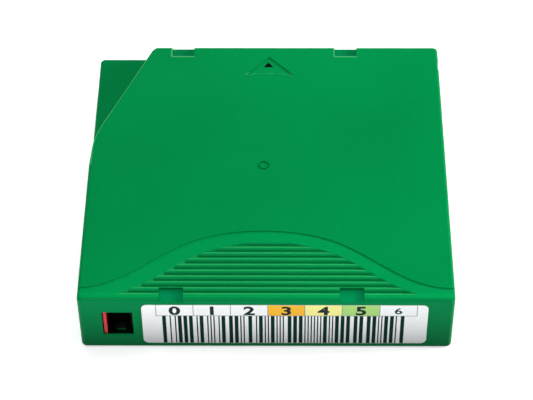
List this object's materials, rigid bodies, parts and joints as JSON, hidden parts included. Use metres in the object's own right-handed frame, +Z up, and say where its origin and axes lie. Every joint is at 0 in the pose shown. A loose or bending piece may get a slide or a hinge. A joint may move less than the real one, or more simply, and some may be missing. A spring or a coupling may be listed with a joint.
{
  "type": "data tape cartridge",
  "caption": "Flat green half-inch data tape cartridge with an angled corner, a ribbed bell-shaped grip, a label face and a sliding side door.",
  "frame": {"origin": "centre of the underside, on the plane that the cartridge lies on", "axes": "+X across the cartridge towards its access door, +Y towards the leading edge that enters a drive, +Z up; the label face is at -Y"},
  "size_m": [0.1054, 0.102, 0.0215],
  "materials": {
    "shell_green": "fine moulded texture, deep green",
    "label_paper": "satin coated label",
    "tab_red": "smooth red",
    "door_green": "satin green",
    "reel_plastic": "smooth pale grey",
    "mechanism_plastic": "smooth off-white",
    "tape_black": "smooth dark brown-black film",
    "steel": "plain steel",
    "screw_steel": "dark zinc",
    "board_green": "coated circuit board",
    "chip_black": "moulded epoxy"
  },
  "bodies": {
    "case": {"top_shell": "shell_green", "bottom_shell": "shell_green", "case_screws": "screw_steel", "cartridge_label": "label_paper", "leader_pin": "steel", "leader_clip": "mechanism_plastic", "leader_pin_spring": "steel", "leader_tape": "tape_black", "memory_board": "board_green", "memory_chip": "chip_black", "door_spring": "steel", "brake_spring": "steel"},
    "door": {"access_door": "door_green"},
    "write_protect": {"write_protect_tab": "tab_red"},
    "reel": {"reel_hub": "reel_plastic", "reel_upper_flange": "reel_plastic", "reel_drive_plate": "steel", "tape_pack": "tape_black"},
    "brake": {"brake_button": "mechanism_plastic"},
    "release": {"release_plate": "mechanism_plastic"}
  },
  "joints": [
    {"name": "door_slide", "type": "slide", "parent": "case", "child": "door", "axis": [0, -1, 0], "range_m": [0, 0.019], "stiffness_N_per_m": 20, "springref_m": -0.01, "deforming": ["door_spring"]},
    {"name": "write_protect_slide", "type": "slide", "parent": "case", "child": "write_protect", "axis": [1, 0, 0], "range_m": [0, 0.00645]},
    {"name": "reel_spin", "type": "hinge", "parent": "case", "child": "reel", "pos_m": [-0.0011, 0, 0.01], "axis": [0, 0, 1], "continuous": true},
    {"name": "brake_lift", "type": "slide", "parent": "case", "child": "brake", "axis": [0, 0, 1], "range_m": [0, 0.0016], "stiffness_N_per_m": 400, "springref_m": -0.004, "deforming": ["brake_spring"]},
    {"name": "release_lift", "type": "slide", "parent": "reel", "child": "release", "axis": [0, 0, 1], "range_m": [0, 0.0016]}
  ],
  "couplings": [
    {"joint": "release_lift", "follows": "brake_lift", "ratio": 1}
  ]
}
